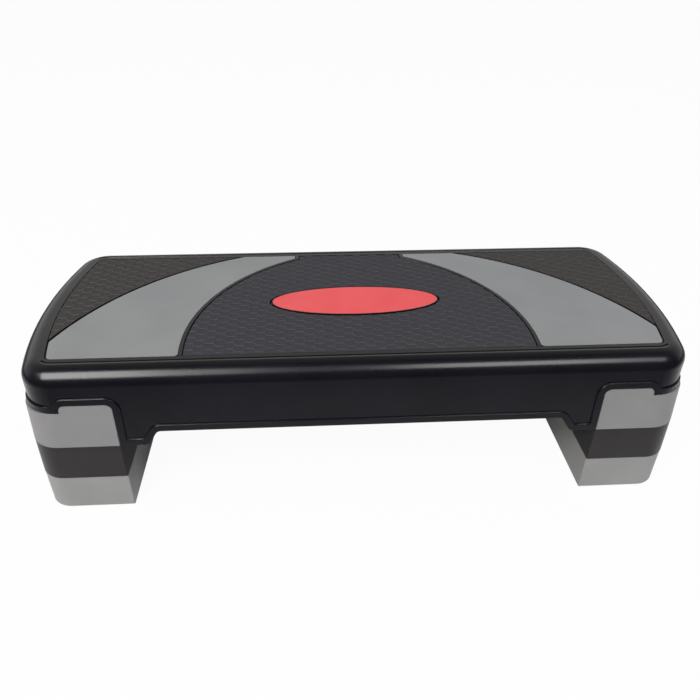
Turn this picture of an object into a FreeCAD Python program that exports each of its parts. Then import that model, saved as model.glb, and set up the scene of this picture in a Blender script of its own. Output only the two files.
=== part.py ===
import FreeCAD
import Part
import math
import os

# Aerobic step platform: a ribbed deck screwed to two feet, with two stacking risers under each foot.
# Millimetres, +Z up, +X along the length, front towards -Y, origin on the floor under the middle.

# Overall sizes
step_height = 200.0
riser_height = 50.0
half_length = 388.0        # deck wall at the crown of its bowed end
half_width = 152.0

# Outlines in plan: half length, half width, bow radius of the ends, corner radius
deck_plan = (half_length, half_width, 560.0, 40.0)
foot_plans = ((389.5, 154.0, 780.0, 37.0), (389.0, 153.4, 700.0, 39.0))      # bottom, top
middle_plans = ((388.3, 150.4, 900.0, 31.0), (387.8, 152.0, 900.0, 33.0))
base_plans = ((387.5, 147.6, 900.0, 29.0), (388.0, 149.4, 900.0, 30.0))

# Deck moulding
rim_radius = 20.0          # roundover between the top and the walls
deck_wall = 3.0
top_plate = 3.0
inner_bevel = 10.0         # inside corner under the roundover
rib_thickness = 2.2
rib_depth = 22.0
rib_rows_y = (-52.0, 52.0)
rib_pitch_x = 92.0
rib_pairs = 4
boss_radius = 6.0          # six-sided screw bosses

# Lower edge of the skirt, seen from the front
arch_height = 119.0
arch_half_span = 231.0
tooth_inner_x = 243.5
leg_inner_x = 275.0
tab_outer_x = 333.0
tab_top = 158.0
arch_round = 7.0
tooth_round = 4.0
notch_inner_round = 8.0
notch_outer_round = 7.5
end_skirt_bottom = 148.0
skirt_overcut = 60.0       # how far the cut under the skirt runs past the walls
bead_width = 8.5
bead_proud = 2.0

# Inlays in the top
inlay_depth = 2.5
inlay_inset = 27.5         # from the deck wall to the edge of the inlays
groove_inset = 19.6        # shadow line along the front and the back, inside the roundover
groove_width = 2.6
groove_depth = 1.5
groove_half_length = 348.0
inlay_corner = 7.0
tread_gap = 1.0            # treads to the frame
tread_back_gap = 2.2       # centre tread to the frame at the back
panel_gap = 0.8            # panels to the frame in front and to the ridges
panel_end_gap = 2.2        # panels to the frame at the ends
panel_seam = 3.6           # panels to the end treads
panel_outer_round = 9.0
panel_inner_round = 4.0
ridge_width = 3.6
ridge_proud = 0.4
ridge_gap = 1.5            # centre tread to the ridges
inner_arc_center = (-42.2, -99.8)
inner_arc_radius = 241.8   # inner side of the ridge
outer_arc_center = (18.1, -204.9)
outer_arc_radius = 352.5
panel_tip_x = 76.0
ridge_end_x = 71.0
badge_half_length = 104.0
badge_half_width = 35.0
badge_center_y = -8.0
badge_seam = 2.8
badge_proud = 0.5

# Legs: feet and risers
block_wall = 2.5
block_plate = 3.0
block_bevel = 1.0          # cut along a block's inner upright edges
foot_gap = 0.4
block_rib_x = 328.0
block_rib_rows_y = (-126.0, 0.0, 126.0)
rib_setback = 1.0

# Pegs, sockets and pads: sizes along X and Y
peg_places = ((block_rib_x, -63.0), (block_rib_x, 63.0))
peg_size = (40.0, 30.0)
peg_height = 8.0
peg_bevel = 1.5
peg_wall = 2.5
socket_gap = 0.4
socket_wall = 2.6
pad_places = ((302.0, -126.0), (302.0, 126.0), (352.0, -126.0), (352.0, 126.0))
pad_size = (28.0, 16.0)
pad_thickness = 1.5        # pads are stuck flat on their bosses
pad_boss_wall = 2.5
pad_boss_height = 12.0     # the boss hangs on the rib that crosses it
pad_pocket_gap = 0.6
pad_pocket_depth = 1.8

# Screws that hold a foot to the deck
screw_places = ((314.0, -94.0), (314.0, 94.0))
screw_radius = 2.2         # to the corners of a shank with six flats
screw_reach = 12.8         # how far a screw goes into its boss
screw_hole_depth = 16.0
screw_head_radius = 4.6    # to the corners of the six-sided head
screw_head_height = 3.0
screw_clearance = 0.25

# Levels worked out from the sizes above
base_top = riser_height
foot_bottom = 2.0 * riser_height
inlay_floor = step_height - inlay_depth
plate_underside = inlay_floor - top_plate
rib_bottom = plate_underside - rib_depth
foot_top = tab_top - foot_gap
far = 1000.0
overlap = 1.0              # lets solids that are joined or cut run past each other


def point(x, y, z=0.0):
    return FreeCAD.Vector(x, y, z)


# Plan set in by the same amount all round.
def set_in(plan, inset):
    return tuple(size - inset for size in plan)


# Closed outline of a plan: straight front and back, bowed ends and round corners.
def plan_wire(plan, z):
    length, width, bow, round_off = plan
    bow_center = length - bow
    corner_y = width - round_off
    corner_x = bow_center + math.sqrt((bow - round_off) ** 2 - corner_y ** 2)
    turn = math.atan2(corner_y, corner_x - bow_center)
    half_turn = 0.5 * (turn + 0.5 * math.pi)

    def on_corner(angle, sx, sy):
        x = corner_x + round_off * math.cos(angle)
        y = corner_y + round_off * math.sin(angle)
        return point(sx * x, sy * y, z)

    def corner_arc(sx, sy, start, end):
        ends = [on_corner(angle, sx, sy) for angle in (start, half_turn, end)]
        return Part.Arc(*ends).toShape()

    def end_arc(sx, sy):
        crown = point(sx * (bow_center + bow), 0.0, z)
        return Part.Arc(on_corner(turn, sx, sy), crown, on_corner(turn, sx, -sy)).toShape()

    square = 0.5 * math.pi
    edges = [
        Part.makeLine(on_corner(square, -1, -1), on_corner(square, 1, -1)),
        corner_arc(1, -1, square, turn),
        end_arc(1, -1),
        corner_arc(1, 1, turn, square),
        Part.makeLine(on_corner(square, 1, 1), on_corner(square, -1, 1)),
        corner_arc(-1, 1, square, turn),
        end_arc(-1, 1),
        corner_arc(-1, -1, turn, square),
    ]
    return Part.Wire(edges)


def plan_prism(plan, bottom, top):
    face = Part.Face(plan_wire(plan, bottom))
    return face.extrude(point(0.0, 0.0, top - bottom))


def deck_prism(inset, bottom, top):
    return plan_prism(set_in(deck_plan, inset), bottom, top)


# Inlaid area of the deck's top, with tighter corners than the deck itself.
def inlay_plan(inset):
    length, width, bow, corner = set_in(deck_plan, inlay_inset + inset)
    return (length, width, bow, inlay_corner - inset)


# Polygon in the XZ plane whose corners are (x, z, radius); a radius of 0 leaves a corner sharp.
def rounded_polygon(corners):
    starts = []
    ends = []
    arcs = []
    count = len(corners)
    for i in range(count):
        x, z, radius = corners[i]
        here = point(x, 0.0, z)
        before = point(corners[i - 1][0], 0.0, corners[i - 1][1]) - here
        after = point(corners[(i + 1) % count][0], 0.0, corners[(i + 1) % count][1]) - here
        before.normalize()
        after.normalize()
        if radius == 0.0:
            starts.append(here)
            ends.append(here)
            arcs.append(None)
            continue
        half = 0.5 * before.getAngle(after)
        middle = before + after
        middle.normalize()
        reach = radius / math.tan(half)
        crest = here + middle * (radius / math.sin(half) - radius)
        starts.append(here + before * reach)
        ends.append(here + after * reach)
        arcs.append(crest)
    edges = []
    for i in range(count):
        if arcs[i] is not None:
            edges.append(Part.Arc(starts[i], arcs[i], ends[i]).toShape())
        edges.append(Part.makeLine(ends[i], starts[(i + 1) % count]))
    return Part.Face(Part.Wire(edges))


# Everything below the skirt's lower edge, as one face seen from the front.
def under_skirt_face():
    past_end = half_length + skirt_overcut
    right = [
        (arch_half_span, arch_height, arch_round),
        (tooth_inner_x, foot_bottom, tooth_round),
        (leg_inner_x, foot_bottom, 0.0),
        (leg_inner_x, tab_top, notch_inner_round),
        (tab_outer_x, tab_top, notch_outer_round),
        (tab_outer_x, end_skirt_bottom, 0.0),
        (past_end, end_skirt_bottom, 0.0),
        (past_end, 0.0, 0.0),
    ]
    left = [(-x, z, radius) for x, z, radius in reversed(right)]
    return rounded_polygon(right + left)


# Through-cut of a face seen from the front.
def front_cut(face):
    slab = face.copy()
    past_side = half_width + skirt_overcut
    slab.translate(point(0.0, -past_side, 0.0))
    return slab.extrude(point(0.0, 2.0 * past_side, 0.0))


def edges_at_height(shape, z):
    return [e for e in shape.Edges if abs(e.BoundBox.ZMin - z) < 1e-4 and abs(e.BoundBox.ZMax - z) < 1e-4]


def cylinder(x, y, radius, bottom, top):
    return Part.makeCylinder(radius, top - bottom, point(x, y, bottom))


def upright(outline, bottom, top):
    corners = [point(x, y, bottom) for x, y in outline]
    face = Part.Face(Part.makePolygon(corners + corners[:1]))
    return face.extrude(point(0.0, 0.0, top - bottom))


def six_sided(x, y, radius, bottom, top):
    turns = [i * math.pi / 3.0 for i in range(6)]
    return upright([(x + radius * math.cos(a), y + radius * math.sin(a)) for a in turns], bottom, top)


# Rectangular block about a place, made larger all round by grow.
def block_at(place, size, grow, bottom, top):
    half_x = 0.5 * size[0] + grow
    half_y = 0.5 * size[1] + grow
    x, y = place
    return box_between(x - half_x, x + half_x, y - half_y, y + half_y, bottom, top)


def box_between(x0, x1, y0, y1, z0, z1):
    return Part.makeBox(x1 - x0, y1 - y0, z1 - z0, point(x0, y0, z0))


def mirrored(shape):
    return shape.mirror(point(0.0, 0.0), point(1.0, 0.0))


def both_sides(shape):
    return shape.fuse(mirrored(shape))


# Half of the space that lies outside x, towards +X.
def beyond(x):
    return box_between(x, far, -far, far, -far, far)


# Round disc of one of the panel arcs, moved out by grow.
def arc_disc(center, radius, grow, bottom, top):
    return cylinder(center[0], center[1], radius + grow, bottom, top)


def inner_disc(grow, bottom=inlay_floor, top=step_height):
    return arc_disc(inner_arc_center, inner_arc_radius, grow, bottom, top)


def outer_disc(grow, bottom=inlay_floor, top=step_height):
    return arc_disc(outer_arc_center, outer_arc_radius, grow, bottom, top)


def badge_prism(grow, bottom=inlay_floor, top=step_height):
    oval = Part.Ellipse(point(0.0, 0.0), badge_half_length + grow, badge_half_width + grow).toShape()
    face = Part.Face(Part.Wire([oval]))
    face.translate(point(0.0, badge_center_y, bottom))
    return face.extrude(point(0.0, 0.0, top - bottom))


# Narrow grooves in front of the inlays and behind them, which end just round the corners.
def frame_grooves():
    floor = step_height - groove_depth
    top = step_height + overlap
    ring = deck_prism(groove_inset, floor, top).cut(deck_prism(groove_inset + groove_width, floor, top))
    return ring.common(box_between(-groove_half_length, groove_half_length, -far, far, floor, top))


def inlay_field(gap, top=step_height):
    return plan_prism(inlay_plan(gap), inlay_floor, top)


# Flat piece with one of its upright edges rounded: the edge that comes first by rank.
def round_upright(piece, radius, rank):
    uprights = [e for e in piece.Edges if e.BoundBox.ZLength > 0.5 * inlay_depth]
    return piece.makeFillet(radius, [max(uprights, key=rank)])


# Ribs that cross the hollow of the deck under its top plate.
def deck_ribs(hollow):
    half = 0.5 * rib_thickness
    ribs = [box_between(-far, far, y - half, y + half, rib_bottom, far) for y in rib_rows_y]
    for i in range(-rib_pairs, rib_pairs):
        x = (i + 0.5) * rib_pitch_x
        ribs.append(box_between(x - half, x + half, -far, far, rib_bottom, far))
    grid = ribs[0].multiFuse(ribs[1:])
    return grid.common(hollow)


# Bosses under the deck that take the foot screws.
def deck_bosses():
    bosses = [six_sided(x, y, boss_radius, foot_top, plate_underside) for x, y in screw_places]
    return both_sides(bosses[0].multiFuse(bosses[1:]))


# Upright hole for each foot screw, with flats like the shank's.
def screw_holes(bottom, top):
    holes = [six_sided(x, y, screw_radius + screw_clearance, bottom, top) for x, y in screw_places]
    return holes[0].multiFuse(holes[1:])


# Low ridge between a side panel and the centre tread, widened to close the slot past the panel's tip.
def tread_ridges():
    top = step_height + ridge_proud
    outside = inlay_field(0.0, top).cut(inner_disc(0.0, inlay_floor, top))
    ridge = outside.common(inner_disc(ridge_width, inlay_floor, top)).common(beyond(ridge_end_x))
    tip_stop = box_between(ridge_end_x, panel_tip_x - panel_gap, 0.0, far, inlay_floor, top)
    return both_sides(ridge.fuse(outside.common(tip_stop)))


def make_deck_shell():
    body = deck_prism(0.0, foot_bottom - overlap, step_height)
    body = body.makeFillet(rim_radius, edges_at_height(body, step_height))
    hollow = deck_prism(deck_wall, 0.0, plate_underside)
    hollow = hollow.makeChamfer(inner_bevel, edges_at_height(hollow, plate_underside))
    shell = body.cut(hollow)
    below = under_skirt_face()
    band = front_cut(below.makeOffset2D(bead_width))
    ring = deck_prism(-bead_proud, foot_bottom - overlap, rib_bottom)
    ring = ring.cut(deck_prism(0.5 * deck_wall, foot_bottom - overlap, rib_bottom))
    shell = shell.fuse(ring.common(band))
    shell = shell.cut(front_cut(below))
    shell = shell.fuse(deck_ribs(hollow))
    shell = shell.fuse(deck_bosses())
    shell = shell.cut(both_sides(screw_holes(foot_top, foot_top + screw_hole_depth)))
    pocket = plan_prism(inlay_plan(0.0), inlay_floor, step_height + overlap)
    shell = shell.cut(pocket).cut(frame_grooves())
    shell = shell.fuse(tread_ridges())
    return shell.removeSplitter()


# The mat fills the space between the two ridges and, between their ends, runs on to the back edge.
def make_centre_tread():
    right = inner_disc(-ridge_gap)
    between = right.common(mirrored(right))
    back_half_x = ridge_end_x - ridge_gap
    back_edge = half_width - inlay_inset - tread_back_gap
    back = box_between(-back_half_x, back_half_x, 0.0, far, inlay_floor, step_height)
    tread = inlay_field(tread_gap).common(between.fuse(back))
    tread = tread.common(box_between(-far, far, -far, back_edge, inlay_floor, step_height))
    return tread.cut(badge_prism(badge_seam)).removeSplitter()


def make_side_panel():
    length, width, bow, corner = inlay_plan(panel_gap)
    field = plan_prism((length + panel_gap - panel_end_gap, width, bow, corner), inlay_floor, step_height)
    panel = field.common(outer_disc(0.0)).cut(inner_disc(ridge_width + panel_gap))
    panel = panel.common(beyond(panel_tip_x)).removeSplitter()
    panel = round_upright(panel, panel_outer_round, lambda e: e.BoundBox.YMax + e.BoundBox.XMax)
    return round_upright(panel, panel_inner_round, lambda e: -3.0 * e.BoundBox.YMin - e.BoundBox.XMin)


def make_end_tread():
    tread = inlay_field(tread_gap).cut(outer_disc(panel_seam)).common(beyond(panel_tip_x))
    return max(tread.Solids, key=lambda solid: solid.Volume)


def make_badge():
    return badge_prism(0.0, top=step_height + badge_proud)


# Right-hand block of a leg: the end of a tapered outline, with a plain inner face and bevelled uprights.
def leg_block(plans, bottom, top):
    inner = leg_inner_x + foot_gap
    block = Part.makeLoft([plan_wire(plans[0], bottom), plan_wire(plans[1], top)], True, True)
    block = block.common(beyond(inner))
    inner_edges = [e for e in block.Edges if abs(e.BoundBox.XMax - inner) < 1e-3]
    uprights = [e for e in inner_edges if e.BoundBox.ZLength > block_plate]
    return block.makeChamfer(block_bevel, uprights)


# Straight-walled hollow of a block, one wall in from a plan.
def leg_hollow(plan, bottom, top):
    hollow = plan_prism(set_in(plan, block_wall), bottom, top)
    return hollow.common(beyond(leg_inner_x + foot_gap + block_wall))


# Ribs, sockets and pad bosses that fill a block's hollow down to its rim.
def block_inside(hollow, bottom, plate_bottom):
    half = 0.5 * rib_thickness
    low = bottom + rib_setback
    solids = [box_between(block_rib_x - half, block_rib_x + half, -far, far, low, far)]
    solids += [box_between(0.0, far, y - half, y + half, low, far) for y in block_rib_rows_y]
    socket_size = socket_gap + socket_wall
    solids += [block_at(place, peg_size, socket_size, low, plate_bottom) for place in peg_places]
    shelf_top = bottom + pad_boss_height
    solids += [block_at(place, pad_size, pad_boss_wall, bottom, shelf_top) for place in pad_places]
    inside = solids[0].multiFuse(solids[1:]).common(hollow)
    for place in peg_places:
        inside = inside.cut(block_at(place, peg_size, socket_gap, bottom, plate_bottom))
    return inside


# Hollow pegs on a riser's top, and the shallow pockets for the pads of the piece above.
def add_top_fittings(riser, top):
    peg_top = top + peg_height
    for place in peg_places:
        peg = block_at(place, peg_size, 0.0, top - overlap, peg_top)
        riser = riser.fuse(peg.makeChamfer(peg_bevel, edges_at_height(peg, peg_top)))
        riser = riser.cut(block_at(place, peg_size, -peg_wall, top - block_plate, peg_top - peg_wall))
    for place in pad_places:
        riser = riser.cut(block_at(place, pad_size, pad_pocket_gap, top - pad_pocket_depth, top))
    return riser


def make_riser(plans, bottom, top):
    plate_bottom = top - block_plate
    hollow = leg_hollow(plans[0], bottom, plate_bottom)
    riser = leg_block(plans, bottom, top).cut(hollow)
    riser = riser.fuse(block_inside(hollow, bottom, plate_bottom))
    return add_top_fittings(riser, top).removeSplitter()


# Saddle that runs from the front notch of the skirt to the back one, rounded to match them.
def foot_saddle():
    inner = leg_inner_x + foot_gap
    outer = tab_outer_x - foot_gap
    profile = rounded_polygon([
        (inner, foot_bottom, 0.0),
        (inner, foot_top, notch_inner_round - foot_gap),
        (outer, foot_top, notch_outer_round - foot_gap),
        (outer, foot_bottom, 0.0),
    ])
    reach = foot_plans[1][1]
    profile.translate(point(0.0, -reach, 0.0))
    return profile.extrude(point(0.0, 2.0 * reach, 0.0))


# Foot: a flared band below the end skirt and a saddle that stands up in the notches and carries the deck.
def make_foot():
    band_top = end_skirt_bottom - foot_gap
    plate_bottom = foot_top - block_plate
    band = leg_block(foot_plans, foot_bottom, band_top)
    reach = foot_plans[1][1] - block_wall
    inner = leg_inner_x + foot_gap + block_wall
    outer = tab_outer_x - foot_gap - block_wall
    hollow = leg_hollow(foot_plans[1], foot_bottom, band_top - block_plate)
    hollow = hollow.fuse(box_between(inner, outer, -reach, reach, foot_bottom, plate_bottom))
    foot = band.fuse(foot_saddle()).cut(hollow)
    foot = foot.fuse(block_inside(hollow, foot_bottom, plate_bottom))
    return foot.cut(screw_holes(plate_bottom, foot_top)).removeSplitter()


def make_pads(rim):
    low = rim - pad_thickness
    return Part.makeCompound([block_at(place, pad_size, 0.0, low, rim) for place in pad_places])


def make_foot_screws():
    seat = foot_top - block_plate
    screws = []
    for x, y in screw_places:
        head = six_sided(x, y, screw_head_radius, seat - screw_head_height, seat)
        shank = six_sided(x, y, screw_radius, seat, foot_top + screw_reach)
        screws.append(head.fuse(shank).removeSplitter())
    return Part.makeCompound(screws)


def save(name, shape):
    shape.exportStep("parts/" + name + ".step")
    print(name, len(shape.Solids), round(shape.Volume / 1000.0, 1), "cm3", shape.isValid())


def save_pair(name, right_shape):
    save(name + "_right", right_shape)
    save(name + "_left", mirrored(right_shape))


os.makedirs("parts", exist_ok=True)
save("deck_shell", make_deck_shell())
save("centre_tread", make_centre_tread())
save("oval_badge", make_badge())
save_pair("end_tread", make_end_tread())
save_pair("side_panel", make_side_panel())
save_pair("foot", make_foot())
save_pair("foot_screws", make_foot_screws())
save_pair("foot_pads", make_pads(foot_bottom))
save_pair("middle_riser", make_riser(middle_plans, base_top, foot_bottom))
save_pair("middle_riser_pads", make_pads(base_top))
save_pair("base_riser", make_riser(base_plans, pad_thickness, base_top))
save_pair("base_riser_pads", make_pads(pad_thickness))
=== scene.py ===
import math
import bmesh
import bpy
import numpy as np
from mathutils import Matrix, Vector


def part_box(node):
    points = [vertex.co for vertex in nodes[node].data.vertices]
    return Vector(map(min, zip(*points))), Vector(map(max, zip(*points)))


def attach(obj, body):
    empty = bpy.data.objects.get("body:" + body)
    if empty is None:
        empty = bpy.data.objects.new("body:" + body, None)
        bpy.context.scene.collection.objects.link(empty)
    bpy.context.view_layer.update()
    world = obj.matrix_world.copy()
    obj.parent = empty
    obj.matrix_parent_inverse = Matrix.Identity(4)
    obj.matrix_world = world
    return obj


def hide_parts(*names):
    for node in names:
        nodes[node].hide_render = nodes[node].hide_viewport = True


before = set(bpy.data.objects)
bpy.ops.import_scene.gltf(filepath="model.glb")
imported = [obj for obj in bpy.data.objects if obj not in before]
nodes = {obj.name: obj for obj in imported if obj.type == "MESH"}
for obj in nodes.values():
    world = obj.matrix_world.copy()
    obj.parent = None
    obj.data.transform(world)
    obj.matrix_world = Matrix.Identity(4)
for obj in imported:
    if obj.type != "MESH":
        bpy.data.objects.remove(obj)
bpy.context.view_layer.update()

# Aerobic step platform, dressed over its solids: metres, +Z up, front towards -Y.
mm = 0.001
sides = ("left", "right")
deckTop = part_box("centre_tread")[1].z      # the inlays' tops, 200 mm up
border = 0.01 * mm                         # width of the border between two tones of one moulding
print("frame loaded:", len(nodes), "nodes")


# sRGB hex value to linear colour: a straight line near black, a power of 2.4 above it
def fromHex(text):
    parts = np.array([int(text[i:i + 2], 16) for i in (1, 3, 5)]) / 255.0
    linear = np.where(parts <= 0.04045, parts / 12.92, ((parts + 0.055) / 1.055) ** 2.4)
    return (*linear.tolist(), 1.0)


# adds one node; a setting is an output to link from, a value for an input by name or number, or an attribute
def addNode(tree, kind, settings=None):
    node = tree.nodes.new(kind)
    for key, value in (settings or {}).items():
        if isinstance(value, bpy.types.NodeSocket):
            tree.links.new(value, node.inputs[key])
        elif isinstance(key, int) or key in node.inputs:
            node.inputs[key].default_value = value
        else:
            setattr(node, key, value)
    return node


# colour that goes from low to high while a value goes from start to end
def toneOver(tree, value, start, end, low, high):
    share = addNode(tree, "ShaderNodeMapRange", {"Value": value, "From Min": start, "From Max": end})
    mixed = addNode(tree, "ShaderNodeMix", {"data_type": "RGBA", 0: share.outputs["Result"], 6: low, 7: high})
    return mixed.outputs[2]


# empty material and its node tree
def newMaterial(name):
    material = bpy.data.materials.new(name)
    material.use_nodes = True
    material.node_tree.nodes.clear()
    return material, material.node_tree


# Moulded plastics. The mould's spark-eroded grain breaks up the gloss, and the resin flows a little unevenly,
# so the tone drifts over a hand's width. Grain is drawn coarser than the real 0.1 mm so that it shows.
finishes = {
    "deck_black": {
        "name": "polypropylene_black_satin_moulded",     # black, satin, clear highlight on the rounded rim
        "tone": "#0c0c13", "drift": "#101017", "roughness": (0.20, 0.26), "specular": 0.20,
        "grain": 0.9 * mm, "depth": 0.006 * mm, "driftSize": 90 * mm,
        # the frame and ridges get a paler charcoal, a painted reflection of a bright room, which fades over
        # the rim and runs further down at the ends
        "paintedReflection": {"tone": "#201f1f", "level": deckTop - 0.05 * mm, "fade": 2.5 * mm,
                   "endStart": 359 * mm, "endFull": 372 * mm, "endDrop": 14 * mm},
    },
    "panel_grey": {
        "name": "polypropylene_grey_matt_moulded",       # even mid grey, hardly any gloss, painted shade on its sides down in the seams
        "tone": "#87898b", "drift": "#828486", "roughness": (0.52, 0.62), "specular": 0.25,
        "grain": 0.8 * mm, "depth": 0.018 * mm, "driftSize": 70 * mm,
        # painted shade: the panel's sides below this level, down in the seams, are near black
        "seamShade": "#161616", "seamShadeLevel": deckTop - 0.4 * mm,
    },
    "foot_grey": {
        "name": "polypropylene_grey_foot_moulded",       # grey feet, slightly cool
        "tone": "#7f7f81", "drift": "#7a7b7d", "roughness": (0.38, 0.48), "specular": 0.36,
        "grain": 0.9 * mm, "depth": 0.020 * mm, "driftSize": 55 * mm,
    },
    # the base risers' grey is the feet's grey made paler: painted light from the floor's bounce
    "base_grey": {
        "name": "polypropylene_grey_riser_bounce_lit",      # grey base risers, a shade paler
        "tone": "#898a8a", "drift": "#848586", "roughness": (0.38, 0.48), "specular": 0.36,
        "grain": 0.9 * mm, "depth": 0.020 * mm, "driftSize": 55 * mm,
    },
    "riser_charcoal": {
        "name": "polypropylene_charcoal_moulded",        # dark warm grey, paler round its ends
        "tone": "#282627", "drift": "#2b292a", "roughness": (0.32, 0.40), "specular": 0.17,
        "grain": 0.9 * mm, "depth": 0.020 * mm, "driftSize": 55 * mm,
    },
    "pad_rubber": {
        "name": "rubber_black_moulded",                  # dull black rubber
        "tone": "#1a1a1a", "drift": "#222121", "roughness": (0.75, 0.85), "specular": 0.30,
        "grain": 0.7 * mm, "depth": 0.030 * mm, "driftSize": 20 * mm,
    },
}
# Shared by all of them: the IOR of polypropylene, and the spans that hold most of the values of a noise.
plasticLook = {"ior": 1.49, "grainSpan": (0.3, 0.7), "driftSpan": (0.35, 0.65)}


# grain noise sets the roughness, from its lower to its upper value, and the height of the bump
def finishPlastic(tree, look, place, colour):
    (low, high), (smooth, rough) = plasticLook["grainSpan"], look["roughness"]
    grain = addNode(tree, "ShaderNodeTexNoise", {
        "Vector": place, "Scale": 1.0 / look["grain"], "Detail": 2.0}).outputs["Fac"]
    gloss = addNode(tree, "ShaderNodeMapRange", {
        "Value": grain, "From Min": low, "From Max": high, "To Min": smooth, "To Max": rough})
    bump = addNode(tree, "ShaderNodeBump", {"Height": grain, "Strength": 1.0, "Distance": look["depth"]})
    surface = addNode(tree, "ShaderNodeBsdfPrincipled", {
        "Base Color": colour, "Roughness": gloss.outputs["Result"], "Normal": bump.outputs["Normal"],
        "IOR": plasticLook["ior"], "Specular IOR Level": look["specular"]})
    addNode(tree, "ShaderNodeOutputMaterial", {"Surface": surface.outputs["BSDF"]})


# tone that drifts over the piece: a coarse noise goes from one tone to the other
def driftingTone(tree, look, place):
    drift = addNode(tree, "ShaderNodeTexNoise", {
        "Vector": place, "Scale": 1.0 / look["driftSize"], "Detail": 3.0}).outputs["Fac"]
    low, high = plasticLook["driftSpan"]
    return toneOver(tree, drift, low, high, fromHex(look["tone"]), fromHex(look["drift"]))


# painted reflection's paler tone above a level, and from the start of the ends' roundover further and further
# below it
def paintedReflectionTop(tree, look, place, height, colour):
    along = addNode(tree, "ShaderNodeSeparateXYZ", {"Vector": place}).outputs["X"]
    reach = addNode(tree, "ShaderNodeMath", {"operation": "ABSOLUTE", 0: along}).outputs["Value"]
    drop = addNode(tree, "ShaderNodeMapRange", {
        "Value": reach, "From Min": look["endStart"], "From Max": look["endFull"],
        "To Max": look["endDrop"]}).outputs["Result"]
    raised = addNode(tree, "ShaderNodeMath", {"operation": "ADD", 0: height, 1: drop}).outputs["Value"]
    level = look["level"]
    return toneOver(tree, raised, level - look["fade"], level, colour, fromHex(look["tone"]))


# drifting tone, with painted reflection above one level or painted shade in the seams below another, where
# the finish has it
def mouldedPlastic(look):
    material, tree = newMaterial(look["name"])
    place = addNode(tree, "ShaderNodeTexCoord").outputs["Object"]
    height = addNode(tree, "ShaderNodeSeparateXYZ", {"Vector": place}).outputs["Z"]
    colour = driftingTone(tree, look, place)
    # painted reflection on the top and over the rim
    if "paintedReflection" in look:
        colour = paintedReflectionTop(tree, look["paintedReflection"], place, height, colour)
    # painted shade on the sides below the seam level
    if "seamShade" in look:
        level = look["seamShadeLevel"]
        colour = toneOver(tree, height, level - border, level, fromHex(look["seamShade"]), colour)
    finishPlastic(tree, look, place, colour)
    return material


# Red ABS plaque: smooth and bright, with a thin black line printed along its edge, whose inner side is soft
# over a small share of the way.
badgeFinish = {"name": "abs_red_gloss_moulded", "tone": "#db4347", "drift": "#e04e52", "line": "#0d0c0d",
               "lineWidth": 1.0 * mm, "lineSoft": 0.002, "roughness": (0.34, 0.40), "specular": 0.35,
               "grain": 1.5 * mm, "depth": 0.004 * mm, "driftSize": 60 * mm}


# black where a point's place, from the middle and in half sizes less the line, is longer than 1
def printedPlaque(look, low, high):
    material, tree = newMaterial(look["name"])
    place = addNode(tree, "ShaderNodeTexCoord").outputs["Object"]
    middle, half = 0.5 * (low + high), 0.5 * (high - low)
    across = [1.0 / (half.x - look["lineWidth"]), 1.0 / (half.y - look["lineWidth"]), 0.0]
    back = [-middle.x * across[0], -middle.y * across[1], 0.0]
    oval = addNode(tree, "ShaderNodeMapping", {"Vector": place, "Scale": across, "Location": back})
    reach = addNode(tree, "ShaderNodeVectorMath", {
        "operation": "LENGTH", 0: oval.outputs["Vector"]}).outputs["Value"]
    red = driftingTone(tree, look, place)
    colour = toneOver(tree, reach, 1.0 - look["lineSoft"], 1.0, red, fromHex(look["line"]))
    finishPlastic(tree, look, place, colour)
    return material


# Thermoplastic rubber mats, moulded: dull dark grey, and the honeycomb's ribs turn paler towards their tops,
# by height times a noise; their sides down in the seams have painted shade. The block reaches past the mat
# below it and the outline that cuts it above it, and points in one step of weld are made one.
matRelief = {"ribTop": 1.0 * mm, "ribSlope": 0.5 * mm, "floorLevel": deckTop - 0.25 * mm,
             "ribLevel": deckTop + 0.35 * mm, "below": 1 * mm, "above": 2 * mm, "weld": 0.01 * mm}
mats = {
    "centre_tread": {"side": 7.55 * mm, "firstCell": (-0.75 * mm, 5.0 * mm), "finish": "centre"},
    "end_tread_left": {"side": 8.1 * mm, "firstCell": (1.5 * mm, -6.8 * mm), "finish": "end"},
    "end_tread_right": {"side": 8.1 * mm, "firstCell": (-0.2 * mm, 6.1 * mm), "finish": "end"},
}
# Each mat's tone, the paler tone of its ribs' tops, and the painted shade on its sides down in the seams.
matFinishes = {
    "centre": {"name": "thermoplastic_rubber_mat_cool",      # bluish dark grey
               "tone": "#39393e", "ribTopPale": "#424246", "seamShade": "#0c0c0e"},
    "end": {"name": "thermoplastic_rubber_mat_warm",         # brownish dark grey
            "tone": "#3c393a", "ribTopPale": "#474444", "seamShade": "#0c0c0c"},
}
matGrain = {"roughness": (0.55, 0.70), "specular": 0.09, "grain": 0.8 * mm, "depth": 0.03 * mm,
            "driftSize": 9 * mm, "ribTopPaleFull": 0.6, "seamShadeLevel": deckTop - 0.5 * mm}


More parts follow.
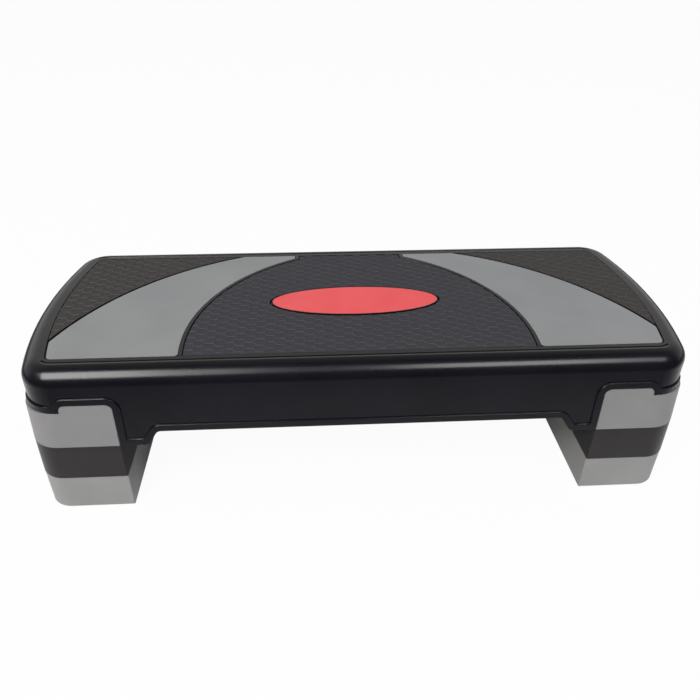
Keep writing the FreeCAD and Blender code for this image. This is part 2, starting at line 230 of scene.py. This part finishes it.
# paler top tone by the share of the ribs' height times a noise, and painted shade on the sides below the seam
# level
def mouldedMat(look):
    material, tree = newMaterial(look["name"])
    place = addNode(tree, "ShaderNodeTexCoord").outputs["Object"]
    height = addNode(tree, "ShaderNodeSeparateXYZ", {"Vector": place}).outputs["Z"]
    raised = addNode(tree, "ShaderNodeMapRange", {
        "Value": height, "From Min": matRelief["floorLevel"], "From Max": matRelief["ribLevel"]})
    drift = addNode(tree, "ShaderNodeTexNoise", {
        "Vector": place, "Scale": 1.0 / matGrain["driftSize"], "Detail": 4.0})
    ribTopPale = addNode(tree, "ShaderNodeMath", {
        "operation": "MULTIPLY", 0: raised.outputs["Result"], 1: drift.outputs["Fac"]}).outputs["Value"]
    colour = toneOver(tree, ribTopPale, 0.0, matGrain["ribTopPaleFull"],
                      fromHex(look["tone"]), fromHex(look["ribTopPale"]))
    # painted shade on the mat's sides below the seam level
    level = matGrain["seamShadeLevel"]
    colour = toneOver(tree, height, level - border, level, fromHex(look["seamShade"]), colour)
    finishPlastic(tree, matGrain, place, colour)
    return material


# Zinc-plated steel screws: grey metal with a faint mottle.
steelFinish = {"name": "steel_zinc_plated", "tone": "#b4b3ae", "mottle": 1.2 * mm, "roughness": (0.28, 0.45)}


# roughness goes from its lower to its upper value with a fine noise
def platedSteel(look):
    material, tree = newMaterial(look["name"])
    place = addNode(tree, "ShaderNodeTexCoord").outputs["Object"]
    smooth, rough = look["roughness"]
    mottle = addNode(tree, "ShaderNodeTexNoise", {
        "Vector": place, "Scale": 1.0 / look["mottle"], "Detail": 2.0})
    gloss = addNode(tree, "ShaderNodeMapRange", {
        "Value": mottle.outputs["Fac"], "To Min": smooth, "To Max": rough})
    surface = addNode(tree, "ShaderNodeBsdfPrincipled", {
        "Base Color": fromHex(look["tone"]), "Metallic": 1.0, "Roughness": gloss.outputs["Result"]})
    addNode(tree, "ShaderNodeOutputMaterial", {"Surface": surface.outputs["BSDF"]})
    return material


plastics = {name: mouldedPlastic(look) for name, look in finishes.items()}
rubbers = {name: mouldedMat(look) for name, look in matFinishes.items()}
plaque = printedPlaque(badgeFinish, *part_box("oval_badge"))
steel = platedSteel(steelFinish)
print("materials made:", len(plastics) + len(rubbers) + 2)


# a CAD node keeps its shape and gets a material in its slots
def dress(nodeName, material):
    piece = nodes[nodeName]
    if not piece.material_slots:
        piece.data.materials.append(material)
    for slot in piece.material_slots:
        slot.material = material


# piece that stands in for a CAD node: it moves with that body and has one material
def newPiece(name, mesh, material, body, replaced):
    mesh.materials.clear()
    mesh.materials.append(material)
    piece = bpy.data.objects.new(name, mesh)
    bpy.context.scene.collection.objects.link(piece)
    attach(piece, body)
    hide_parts(replaced)
    return piece


# array of an attribute of a mesh's points, edges, loops or faces, one row for each
def readMesh(items, attribute, columns, kind):
    values = np.empty(columns * len(items), kind)
    items.foreach_get(attribute, values)
    return values.reshape(-1, columns)


# Copy of a CAD node's mesh with its loose triangles merged and, if asked, its flat faces made whole.
mergeLimits = {"weld": 0.002 * mm, "flatAngle": math.radians(0.2)}


def mergedCopy(nodeName, wholeFaces):
    mesh = nodes[nodeName].data.copy()
    work = bmesh.new()
    work.from_mesh(mesh)
    bmesh.ops.remove_doubles(work, verts=work.verts, dist=mergeLimits["weld"])
    if wholeFaces:
        bmesh.ops.dissolve_limit(work, verts=work.verts, edges=work.edges,
                                 angle_limit=mergeLimits["flatAngle"])
    work.to_mesh(mesh)
    work.free()
    return mesh


# Honeycomb block: each cell has four hexagons, the middle line of its ribs and the inner edge of their tops
# at rib level, the foot of their slopes at floor level, and the middle line again at the bottom. Cells share
# middle lines, so equal points are made one, and a middle line that only one cell has gets a wall down to the
# bottom. Columns are 1.5 sides apart, rows the root of 3 sides, and every other column is half a row up.
def honeycombBlock(low, high, relief, firstCell, side, bottom):
    stepX, stepY = 1.5 * side, math.sqrt(3.0) * side
    columns = np.arange(math.floor((low.x - firstCell[0]) / stepX) - 1,
                        math.ceil((high.x - firstCell[0]) / stepX) + 2)
    rows = np.arange(math.floor((low.y - firstCell[1]) / stepY) - 1,
                     math.ceil((high.y - firstCell[1]) / stepY) + 2)
    column, row = [axis.ravel() for axis in np.meshgrid(columns, rows)]
    middle = np.stack([firstCell[0] + column * stepX,
                       firstCell[1] + (row + 0.5 * (column % 2)) * stepY], -1)
    turn = np.arange(6) * math.pi / 3.0
    corner = np.stack([np.cos(turn), np.sin(turn)], -1)
    halfTop = 0.5 * relief["ribTop"]
    inset = np.array([0.0, halfTop, halfTop + relief["ribSlope"], 0.0])
    radius = side - inset * 2.0 / math.sqrt(3.0)      # a corner moves further than the side it belongs to
    level = np.array([relief["ribLevel"], relief["ribLevel"], relief["floorLevel"], bottom])
    flat = middle[:, None, None, :] + radius[None, :, None, None] * corner
    height = np.broadcast_to(level[None, :, None, None], flat.shape[:3] + (1,))
    points = np.concatenate([flat, height], -1).reshape(-1, 3)
    grid = np.floor(points / relief["weld"] + 0.25).astype(int)      # a quarter step keeps points off borders
    _, first, same = np.unique(grid, axis=0, return_index=True, return_inverse=True)
    ring = same.reshape(len(middle), 4, 6)
    after = np.roll(ring, -1, axis=2)
    bands = [np.stack([ring[:, i], after[:, i], after[:, i + 1], ring[:, i + 1]], -1).reshape(-1, 4)
             for i in (0, 1)]
    edge = np.sort(np.stack([ring[:, 0], after[:, 0]], -1), -1).reshape(-1, 2)
    _, edgeIndex, edgeCount = np.unique(edge, axis=0, return_inverse=True, return_counts=True)
    lone = edgeCount[edgeIndex.ravel()] == 1
    walls = np.stack([after[:, 0], ring[:, 0], ring[:, 3], after[:, 3]], -1).reshape(-1, 4)[lone]
    hexagons = np.concatenate([ring[:, 2], ring[:, 3, ::-1]])
    faces = np.concatenate(bands + [walls]).tolist() + hexagons.tolist()
    block = bpy.data.meshes.new("honeycombBlock")
    block.from_pydata(points[first].tolist(), [], faces)
    return block


# relief cut to a mat's outline: the block and the mat's solid, drawn up past the ribs, keep what they share
def makeMat(nodeName, look):
    low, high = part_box(nodeName)
    block = honeycombBlock(low, high, matRelief, look["firstCell"], look["side"], low.z - matRelief["below"])
    relief = bpy.data.objects.new("reliefWork", block)
    outline = bpy.data.objects.new("outlineWork", mergedCopy(nodeName, False))
    place = readMesh(outline.data.vertices, "co", 3, np.float32)
    upper = place[:, 2] > 0.5 * (low.z + high.z)
    place[upper, 2] = high.z + matRelief["above"]
    outline.data.vertices.foreach_set("co", place.ravel())
    for work in (relief, outline):
        bpy.context.scene.collection.objects.link(work)
    cut = relief.modifiers.new("cut", "BOOLEAN")
    cut.operation = "INTERSECT"
    cut.solver = "EXACT"
    cut.object = outline
    graph = bpy.context.evaluated_depsgraph_get()
    mesh = bpy.data.meshes.new_from_object(relief.evaluated_get(graph))
    for work in (relief, outline):
        bpy.data.objects.remove(work)
    return newPiece(nodeName + "Relief", mesh, rubbers[look["finish"]], "deck", nodeName)


for nodeName, look in mats.items():
    made = makeMat(nodeName, look)
    print("mat made:", nodeName, len(made.data.polygons), "faces")

# Mouldings with their outer edges rounded: copies of the solids with a small bevel, so that edges catch
# light. A face is a side wall where the upright part of its normal is under wallTilt.
softEdges = {"sharpAngle": math.radians(40), "slack": 0.4 * mm, "wallTilt": 0.5,
             "smoothAngle": math.radians(32), "segments": 3}
mouldings = {
    "deck_shell": {"body": "deck", "slot": "deck_black", "finish": "deck_black", "width": 0.8 * mm},
}
for side in sides:
    mouldings["foot_" + side] = {
        "body": "deck", "slot": "leg_grey", "finish": "foot_grey", "width": 0.9 * mm}
    mouldings["middle_riser_" + side] = {
        "body": side + "_middle_riser", "slot": "riser_charcoal", "finish": "riser_charcoal",
        "width": 0.9 * mm}
    mouldings["base_riser_" + side] = {
        "body": side + "_base_riser", "slot": "leg_grey", "finish": "base_grey", "width": 0.9 * mm}


# One where an edge is sharp and one of its two faces is a side wall on the outside of the piece: nothing else
# of the piece reaches further along that face's normal.
def outerEdges(mesh, look):
    normal = readMesh(mesh.polygons, "normal", 3, np.float32)
    corners = readMesh(mesh.polygons, "loop_total", 1, np.int32).ravel()
    edgeOfLoop = readMesh(mesh.loops, "edge_index", 1, np.int32).ravel()
    place = readMesh(mesh.vertices, "co", 3, np.float32)
    ends = readMesh(mesh.edges, "vertices", 2, np.int32)
    faceOfLoop = np.repeat(np.arange(len(normal)), corners)
    order = np.argsort(edgeOfLoop, kind="stable")
    shared = np.bincount(edgeOfLoop, minlength=len(ends))
    start = np.concatenate([[0], np.cumsum(shared)[:-1]])
    paired = np.flatnonzero(shared == 2)
    one, two = faceOfLoop[order[start[paired]]], faceOfLoop[order[start[paired] + 1]]
    sharp = np.einsum("ij,ij->i", normal[one], normal[two]) < math.cos(look["sharpAngle"])
    paired, one, two = paired[sharp], one[sharp], two[sharp]
    reach = (place @ normal.T).max(0)
    middle = place[ends[paired]].mean(1)
    outside = np.zeros(len(paired), bool)
    for face in (one, two):
        wall = np.abs(normal[face][:, 2]) < look["wallTilt"]
        outside |= wall & (reach[face] - np.einsum("ij,ij->i", middle, normal[face]) < look["slack"])
    weight = np.zeros(len(ends), np.float32)
    weight[paired[outside]] = 1.0
    return weight


# bevel along the outer edges, and how many there are
def softMoulding(nodeName, look):
    mesh = mergedCopy(nodeName, True)
    weight = outerEdges(mesh, softEdges)
    mesh.attributes.new("bevel_weight_edge", "FLOAT", "EDGE").data.foreach_set("value", weight)
    mesh.polygons.foreach_set("use_smooth", np.ones(len(mesh.polygons), bool))
    mesh.set_sharp_from_angle(angle=softEdges["smoothAngle"])
    finish = plastics[look["finish"]]
    piece = newPiece(nodeName + "Soft", mesh, finish, look["body"], nodeName)
    bevel = piece.modifiers.new("softEdges", "BEVEL")
    bevel.limit_method = "WEIGHT"
    bevel.width = look["width"]
    bevel.segments = softEdges["segments"]
    even = piece.modifiers.new("evenNormals", "WEIGHTED_NORMAL")     # large flat faces keep their own normal
    even.keep_sharp = True
    return int(weight.sum())


for nodeName, look in mouldings.items():
    print("edges rounded:", nodeName, softMoulding(nodeName, look))

# the other nodes keep their CAD shape
dress("oval_badge", plaque)
for side in sides:
    dress("side_panel_" + side, plastics["panel_grey"])
    dress("foot_screws_" + side, steel)
    for block in ("foot", "middle_riser", "base_riser"):
        dress(block + "_pads_" + side, plastics["pad_rubber"])
print("nodes dressed")

# Camera at the photograph's place, for a square picture; angles in degrees, pitch downwards.
photoCamera = {"place": (-55.9 * mm, -747.4 * mm, 610.5 * mm), "focalPixels": 674.2, "picturePixels": 700,
               "sensorMm": 36.0, "yaw": -3.862, "pitch": 33.202, "roll": 0.567}


# lens in mm: focal length in pixels times the sensor's width over the picture's; roll, then pitch, then yaw
def makeCamera(view):
    data = bpy.data.cameras.new("photoCamera")
    data.sensor_width = view["sensorMm"]
    data.lens = view["focalPixels"] * view["sensorMm"] / view["picturePixels"]
    camera = bpy.data.objects.new("photoCamera", data)
    bpy.context.scene.collection.objects.link(camera)
    turn = Matrix.Rotation(math.radians(view["yaw"]), 4, "Z")
    tilt = Matrix.Rotation(math.radians(90.0 - view["pitch"]), 4, "X")
    lean = Matrix.Rotation(math.radians(view["roll"]), 4, "Z")
    camera.matrix_world = Matrix.Translation(view["place"]) @ turn @ tilt @ lean
    bpy.context.scene.camera = camera


# one for rays that show the background straight or through glass, else nought
def straightRay(tree, rays):
    return addNode(tree, "ShaderNodeMath", {
        "operation": "MAXIMUM", 0: rays.outputs["Is Camera Ray"],
        1: rays.outputs["Is Transmission Ray"]}).outputs["Value"]


# Pale floor: its own glow makes the background white, the rest of it takes the shadow. In gloss it is white
# on an oval round the step with the half sizes lit, and dim at dimOut times that size. Under the step it is
# shaded, fully up to shadeEnd and not from shadeOut on, which are shares of the oval.
floorLook = {"size": 16.0, "colour": "#e2e2e1", "glow": 0.955, "drop": 0.2 * mm, "lit": (0.62, 0.28),
             "dim": 0.05, "dimOut": 2.0, "shadeEnd": 0.50, "shadeOut": 0.78, "shade": 0.16}


# glow of the floor for rays that show it straight, through glass or mirrored: its share and its strength
def floorGlow(tree, look):
    rays = addNode(tree, "ShaderNodeLightPath")
    mirrored = rays.outputs["Is Glossy Ray"]
    place = addNode(tree, "ShaderNodeTexCoord").outputs["Object"]
    across = [1.0 / half for half in look["lit"]] + [0.0]
    oval = addNode(tree, "ShaderNodeMapping", {"Vector": place, "Scale": across})
    reach = addNode(tree, "ShaderNodeVectorMath", {
        "operation": "LENGTH", 0: oval.outputs["Vector"]}).outputs["Value"]
    shade = addNode(tree, "ShaderNodeMapRange", {
        "Value": reach, "From Min": look["shadeEnd"], "From Max": look["shadeOut"], "To Min": look["shade"]})
    patch = addNode(tree, "ShaderNodeMapRange", {
        "Value": reach, "From Min": 1.0, "From Max": look["dimOut"],
        "To Min": shade.outputs["Result"], "To Max": look["dim"]})
    strength = addNode(tree, "ShaderNodeMapRange", {
        "Value": mirrored, "To Min": 1.0, "To Max": patch.outputs["Result"]})
    shown = addNode(tree, "ShaderNodeMath", {
        "operation": "MAXIMUM", 0: straightRay(tree, rays), 1: mirrored}).outputs["Value"]
    share = addNode(tree, "ShaderNodeMath", {"operation": "MULTIPLY", 0: shown, 1: look["glow"]})
    return share.outputs["Value"], strength.outputs["Result"]


# one square, a little below the pads, of dull paper mixed with its glow
def makeFloor(look):
    half = 0.5 * look["size"]
    mesh = bpy.data.meshes.new("floor")
    corners = [(-half, -half), (half, -half), (half, half), (-half, half)]
    mesh.from_pydata([(x, y, -look["drop"]) for x, y in corners], [], [(0, 1, 2, 3)])
    floor = bpy.data.objects.new("floor", mesh)
    bpy.context.scene.collection.objects.link(floor)
    material, tree = newMaterial("paper_white_floor")
    paper = addNode(tree, "ShaderNodeBsdfDiffuse", {"Color": fromHex(look["colour"])})
    share, strength = floorGlow(tree, look)
    glow = addNode(tree, "ShaderNodeEmission", {"Strength": strength})
    mixed = addNode(tree, "ShaderNodeMixShader", {
        0: share, 1: paper.outputs["BSDF"], 2: glow.outputs["Emission"]})
    addNode(tree, "ShaderNodeOutputMaterial", {"Surface": mixed.outputs["Shader"]})
    mesh.materials.append(material)


# rectangular lamp that faces its aim and isn't seen itself
def addLamp(name, place, aim, size, power, colour):
    lamp = bpy.data.lights.new(name, "AREA")
    lamp.shape = "RECTANGLE"
    lamp.size, lamp.size_y = size
    lamp.energy = power
    lamp.color = fromHex(colour)[:3]
    holder = bpy.data.objects.new(name, lamp)
    holder.location = place
    holder.rotation_euler = (Vector(aim) - Vector(place)).to_track_quat("-Z", "Y").to_euler()
    holder.visible_camera = False
    bpy.context.scene.collection.objects.link(holder)
    return holder


# Two softboxes in front of the step give its shading, and don't show in its gloss.
softboxes = {
    "softboxLeft": {"place": (-1.80, -2.90, 3.25), "aim": (-0.10, -0.05, 0.15), "size": (2.15, 1.30),
                    "power": 164.0, "colour": "#fffaf3"},
    "softboxRight": {"place": (1.70, -2.60, 3.90), "aim": (0.10, -0.05, 0.15), "size": (1.75, 1.30),
                     "power": 53.0, "colour": "#f6f8ff"},
}
for name, look in softboxes.items():
    softbox = addLamp(name, **look)
    softbox.visible_glossy = False

# Row of window panes in front of the step and above it, leaning over it, which show only in its gloss. They
# make the long highlight on the front rim, brightest at the left and dim in the middle. Each pane has its
# ends along x, its lower and upper edge measured up the window from its middle line, and its radiance.
window = {"y": -1.04, "z": 1.39, "aim": (-0.14, 0.19), "colour": "#fbfaf8",
          "panes": ((-1.85, -1.50, -0.60, 0.48, 12.0), (-1.50, -0.60, -0.60, 0.48, 25.0),
                    (-0.60, -0.28, -0.55, 0.32, 8.5), (-0.28, 0.28, -0.50, 0.25, 1.3),
                    (0.28, 0.95, -0.50, 0.15, 17.0), (0.95, 1.35, -0.50, 0.15, 6.0))}


# panes lie in one plane square to the line of aim; a pane's power is pi times its area times its radiance
def makeWindow(look):
    facing = Vector((0.0, look["aim"][0] - look["y"], look["aim"][1] - look["z"])).normalized()
    for index, (start, end, lower, upper, radiance) in enumerate(look["panes"]):
        width, height = end - start, upper - lower
        rise = 0.5 * (lower + upper)
        place = Vector((0.5 * (start + end), look["y"] - rise * facing.z, look["z"] + rise * facing.y))
        power = math.pi * width * height * radiance
        pane = addLamp(f"windowPane{index}", place, place + facing, (width, height), power, look["colour"])
        pane.visible_diffuse = False


# White sweep behind the step up to wallTop, darker ceiling, dim room in front: sines of elevation, and a
# share of the way from front to back. They show in gloss; fill is what the step gets from all sides.
studioLook = {"fill": 0.41, "wallTop": 0.40, "ceilingStart": 0.92, "ceiling": 0.10, "roomEnd": -0.30,
              "sweepStart": 0.10, "room": 0.10}


# strength by kind of ray: white where it is seen straight, the studio where it is mirrored, else the fill
def makeStudio(look):
    world = bpy.data.worlds.new("studio")
    world.use_nodes = True
    tree = world.node_tree
    tree.nodes.clear()
    way = addNode(tree, "ShaderNodeTexCoord").outputs["Generated"]
    along = addNode(tree, "ShaderNodeSeparateXYZ", {"Vector": way})
    rays = addNode(tree, "ShaderNodeLightPath")
    wall = addNode(tree, "ShaderNodeMapRange", {
        "Value": along.outputs["Z"], "From Min": look["wallTop"], "From Max": look["ceilingStart"],
        "To Min": 1.0, "To Max": look["ceiling"]})
    gloss = addNode(tree, "ShaderNodeMapRange", {
        "Value": along.outputs["Y"], "From Min": look["roomEnd"], "From Max": look["sweepStart"],
        "To Min": look["room"], "To Max": wall.outputs["Result"]})
    lit = addNode(tree, "ShaderNodeMapRange", {
        "Value": rays.outputs["Is Glossy Ray"], "To Min": look["fill"], "To Max": gloss.outputs["Result"]})
    level = addNode(tree, "ShaderNodeMapRange", {
        "Value": straightRay(tree, rays), "To Min": lit.outputs["Result"], "To Max": 1.0})
    sky = addNode(tree, "ShaderNodeBackground", {
        "Color": fromHex("#ffffff"), "Strength": level.outputs["Result"]})
    addNode(tree, "ShaderNodeOutputWorld", {"Surface": sky.outputs["Background"]})
    bpy.context.scene.world = world


makeCamera(photoCamera)
makeFloor(floorLook)
makeWindow(window)
makeStudio(studioLook)
bpy.context.scene.view_settings.view_transform = "Standard"
print("stage set")
